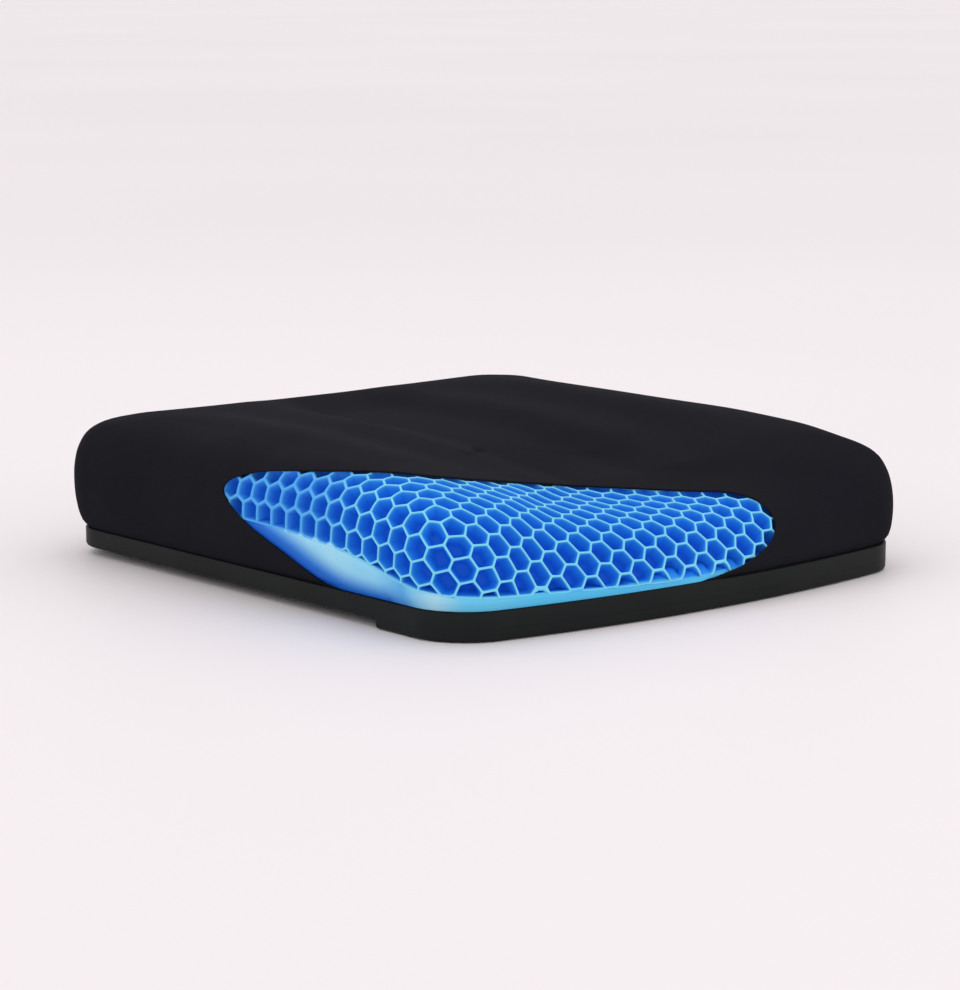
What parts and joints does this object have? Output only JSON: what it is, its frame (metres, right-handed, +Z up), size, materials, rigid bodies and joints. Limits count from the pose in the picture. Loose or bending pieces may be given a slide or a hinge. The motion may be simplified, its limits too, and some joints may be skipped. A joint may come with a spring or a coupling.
{
  "type": "office chair seat cushion",
  "caption": "Upholstered office chair seat in a plastic shell, with a leaf-shaped window in its cover that shows a honeycomb gel pad.",
  "frame": {"origin": "middle of the overall box in plan, on the plane of the underside's mounting pads", "axes": "+Z up, -Y towards the seat's front edge, -X to the sitter's right"},
  "size_m": [0.491, 0.528, 0.1135],
  "materials": {
    "shell_plastic": "fine satin, injection moulded",
    "plywood": "plain birch plywood, bare",
    "foam": "open-cell polyurethane foam",
    "gel": "soft translucent blue gel, slightly glossy",
    "cover_fabric": "smooth tight-knit black polyester",
    "zinc_steel": "bright zinc plate",
    "black_steel": "black zinc plate"
  },
  "bodies": {
    "root": {"outer_shell": "shell_plastic", "inner_board": "plywood", "foam_core": "foam", "gel_pad": "gel", "fabric_cover": "cover_fabric", "mechanism_tnut_1": "zinc_steel", "mechanism_tnut_2": "zinc_steel", "mechanism_tnut_3": "zinc_steel", "mechanism_tnut_4": "zinc_steel", "arm_tnut_left_1": "zinc_steel", "arm_tnut_left_2": "zinc_steel", "arm_tnut_left_3": "zinc_steel", "arm_tnut_right_1": "zinc_steel", "arm_tnut_right_2": "zinc_steel", "arm_tnut_right_3": "zinc_steel", "cover_staple_01": "zinc_steel", "cover_staple_02": "zinc_steel", "cover_staple_03": "zinc_steel", "cover_staple_04": "zinc_steel", "cover_staple_05": "zinc_steel", "cover_staple_06": "zinc_steel", "cover_staple_07": "zinc_steel", "cover_staple_08": "zinc_steel", "cover_staple_09": "zinc_steel", "cover_staple_10": "zinc_steel", "cover_staple_11": "zinc_steel", "cover_staple_12": "zinc_steel", "cover_staple_13": "zinc_steel", "cover_staple_14": "zinc_steel", "cover_staple_15": "zinc_steel", "cover_staple_16": "zinc_steel", "shell_screw_1": "black_steel", "shell_screw_2": "black_steel", "shell_screw_3": "black_steel", "shell_screw_4": "black_steel", "shell_screw_5": "black_steel", "shell_screw_6": "black_steel", "shell_screw_7": "black_steel", "shell_screw_8": "black_steel"}
  },
  "joints": []
}
